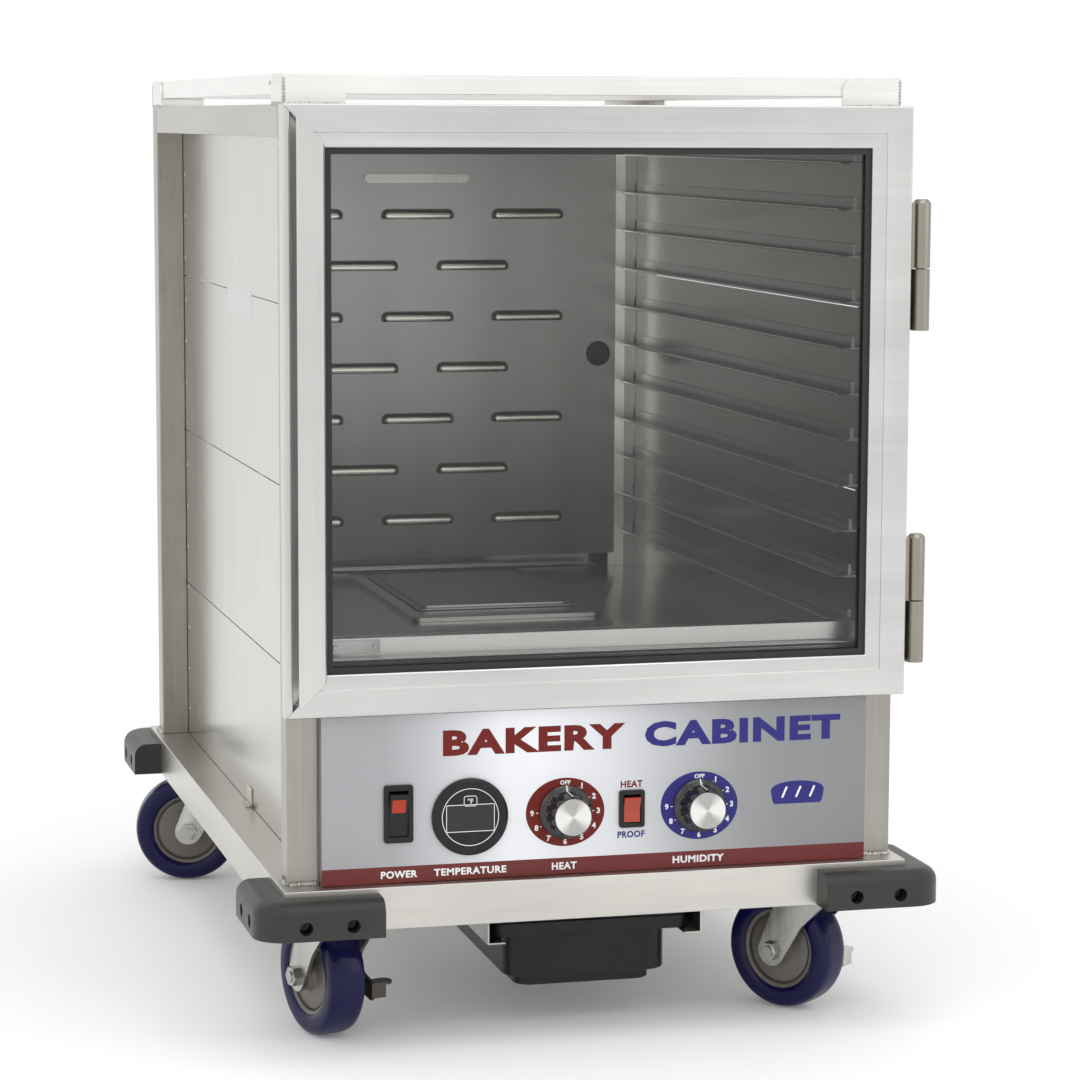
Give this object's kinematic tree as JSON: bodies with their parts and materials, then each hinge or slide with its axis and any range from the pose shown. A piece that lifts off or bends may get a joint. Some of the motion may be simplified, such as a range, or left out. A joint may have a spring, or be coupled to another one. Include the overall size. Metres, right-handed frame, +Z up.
{
  "type": "proofing cabinet",
  "caption": "Under-counter aluminium proofing cabinet with a glazed door, tray slides, a pull-out heater module with knobs, a drip pan and four swivel casters.",
  "frame": {"origin": "on the floor, under the centre of the base with its corner bumpers", "axes": "+Z up; the door and controls face -Y; +X is to the right of someone facing the door"},
  "size_m": [0.5751, 0.813, 0.782],
  "materials": {
    "frame_aluminium": "mill finish, faint vertical drawing lines",
    "side_aluminium": "mill finish",
    "cavity_aluminium": "brushed, dulled",
    "zinc": "zinc plated",
    "dark_steel": "dark",
    "hinge_metal": "pewter",
    "door_aluminium": "satin anodised",
    "clear_glass": "clear",
    "black_rubber": "matte",
    "bumper_rubber": "matte, moulded",
    "black_screw": "black oxide",
    "black_plastic": "matte",
    "red_plastic": "gloss",
    "spun_aluminium": "spun, concentric lines",
    "fascia_sheet": "satin",
    "printed_overlay": "satin print",
    "steel_pan": "drawn",
    "black_pan": "satin",
    "hub_plastic": "moulded",
    "blue_tyre": "smooth, slightly glossy"
  },
  "bodies": {
    "cabinet": {"base_rails": "frame_aluminium", "caster_mounts": "zinc", "corner_posts": "frame_aluminium", "top_rails": "frame_aluminium", "guard_rails": "frame_aluminium", "corner_gussets": "frame_aluminium", "side_planks": "side_aluminium", "rear_panel": "frame_aluminium", "top_panel": "frame_aluminium", "floor_panel": "cavity_aluminium", "duct_panel": "cavity_aluminium", "hole_plug": "black_plastic", "tray_racks": "cavity_aluminium", "sill": "cavity_aluminium", "sill_plate": "zinc", "hinge_lower": "hinge_metal", "bumpers": "bumper_rubber", "bumper_screws": "black_screw", "drip_rails": "zinc", "module_runners": "zinc", "post_rivets": "zinc"},
    "door": {"door_frame": "door_aluminium", "pull_stile": "door_aluminium", "door_glass": "clear_glass", "glazing_gasket": "black_rubber", "door_seal": "black_rubber", "hinge_upper": "hinge_metal"},
    "heater_module": {"fascia": "fascia_sheet", "overlay": "printed_overlay", "chassis": "zinc", "heating_element": "dark_steel", "water_pan": "steel_pan", "fan_housing": "black_plastic", "switch_bezels": "black_plastic", "thermometer": "black_plastic", "control_bodies": "black_plastic", "power_inlet": "black_plastic"},
    "fan": {"fan_wheel": "black_plastic"},
    "power_switch": {"power_rocker": "black_plastic"},
    "mode_switch": {"mode_rocker": "red_plastic"},
    "heat_control": {"heat_knob": "black_plastic", "heat_cap": "spun_aluminium"},
    "humidity_control": {"humidity_knob": "black_plastic", "humidity_cap": "spun_aluminium"},
    "cover": {"pan_cover": "cavity_aluminium"},
    "drip_tray": {"drip_pan": "black_pan"},
    "swivel_fl": {"fork_fl": "zinc"},
    "wheel_fl": {"hub_fl": "hub_plastic", "tyre_fl": "blue_tyre"},
    "swivel_fr": {"fork_fr": "zinc"},
    "wheel_fr": {"hub_fr": "hub_plastic", "tyre_fr": "blue_tyre"},
    "swivel_rl": {"fork_rl": "zinc"},
    "wheel_rl": {"hub_rl": "hub_plastic", "tyre_rl": "blue_tyre"},
    "swivel_rr": {"fork_rr": "zinc"},
    "wheel_rr": {"hub_rr": "hub_plastic", "tyre_rr": "blue_tyre"},
    "brake_fl": {"pedal_fl": "dark_steel"},
    "brake_fr": {"pedal_fr": "zinc"}
  },
  "joints": [
    {"name": "door_swing", "type": "hinge", "parent": "cabinet", "child": "door", "pos_m": [0.271, -0.368, 0.5], "axis": [0, 0, 1], "range_deg": [0, 235]},
    {"name": "module_slide", "type": "slide", "parent": "cabinet", "child": "heater_module", "axis": [0, -1, 0], "range_m": [0, 0.4]},
    {"name": "fan_spin", "type": "hinge", "parent": "heater_module", "child": "fan", "pos_m": [-0.15, 0.112, 0.1965], "axis": [0, 1, 0], "continuous": true},
    {"name": "power_toggle", "type": "hinge", "parent": "heater_module", "child": "power_switch", "pos_m": [-0.1667, -0.3674, 0.195], "axis": [-1, 0, 0], "range_deg": [0, 18]},
    {"name": "mode_toggle", "type": "hinge", "parent": "heater_module", "child": "mode_switch", "pos_m": [0.0276, -0.3674, 0.19], "axis": [-1, 0, 0], "range_deg": [0, 18]},
    {"name": "heat_turn", "type": "hinge", "parent": "heater_module", "child": "heat_control", "pos_m": [-0.028, -0.37, 0.19], "axis": [0, 1, 0], "range_deg": [0, 270]},
    {"name": "humidity_turn", "type": "hinge", "parent": "heater_module", "child": "humidity_control", "pos_m": [0.0852, -0.37, 0.19], "axis": [0, 1, 0], "range_deg": [0, 270]},
    {"name": "cover_lift", "type": "slide", "parent": "cabinet", "child": "cover", "axis": [0, 0, 1], "range_m": [0, 0.12]},
    {"name": "drip_tray_slide", "type": "slide", "parent": "cabinet", "child": "drip_tray", "axis": [0, -1, 0], "range_m": [0, 0.25]},
    {"name": "swivel_fl_turn", "type": "hinge", "parent": "cabinet", "child": "swivel_fl", "pos_m": [-0.206, -0.333, 0.118], "axis": [0, 0, 1], "continuous": true},
    {"name": "wheel_fl_spin", "type": "hinge", "parent": "swivel_fl", "child": "wheel_fl", "pos_m": [-0.21565, -0.29936, 0.0508], "axis": [-0.9613, -0.2756, 0], "continuous": true},
    {"name": "swivel_fr_turn", "type": "hinge", "parent": "cabinet", "child": "swivel_fr", "pos_m": [0.206, -0.333, 0.118], "axis": [0, 0, 1], "continuous": true},
    {"name": "wheel_fr_spin", "type": "hinge", "parent": "swivel_fr", "child": "wheel_fr", "pos_m": [0.18494, -0.30505, 0.0508], "axis": [-0.7986, -0.6018, 0], "continuous": true},
    {"name": "swivel_rl_turn", "type": "hinge", "parent": "cabinet", "child": "swivel_rl", "pos_m": [-0.202, 0.29, 0.118], "axis": [0, 0, 1], "continuous": true},
    {"name": "wheel_rl_spin", "type": "hinge", "parent": "swivel_rl", "child": "wheel_rl", "pos_m": [-0.23666, 0.29487, 0.0508], "axis": [-0.1392, -0.9903, 0], "continuous": true},
    {"name": "swivel_rr_turn", "type": "hinge", "parent": "cabinet", "child": "swivel_rr", "pos_m": [0.202, 0.29, 0.118], "axis": [0, 0, 1], "continuous": true},
    {"name": "wheel_rr_spin", "type": "hinge", "parent": "swivel_rr", "child": "wheel_rr", "pos_m": [0.17169, 0.3075, 0.0508], "axis": [-0.5, -0.866, 0], "continuous": true},
    {"name": "brake_fl_press", "type": "hinge", "parent": "swivel_fl", "child": "brake_fl", "pos_m": [-0.21565, -0.29936, 0.0508], "axis": [0.9613, 0.2756, 0], "range_deg": [0, 14]},
    {"name": "brake_fr_press", "type": "hinge", "parent": "swivel_fr", "child": "brake_fr", "pos_m": [0.18494, -0.30505, 0.0508], "axis": [0.7986, 0.6018, 0], "range_deg": [0, 14]}
  ]
}
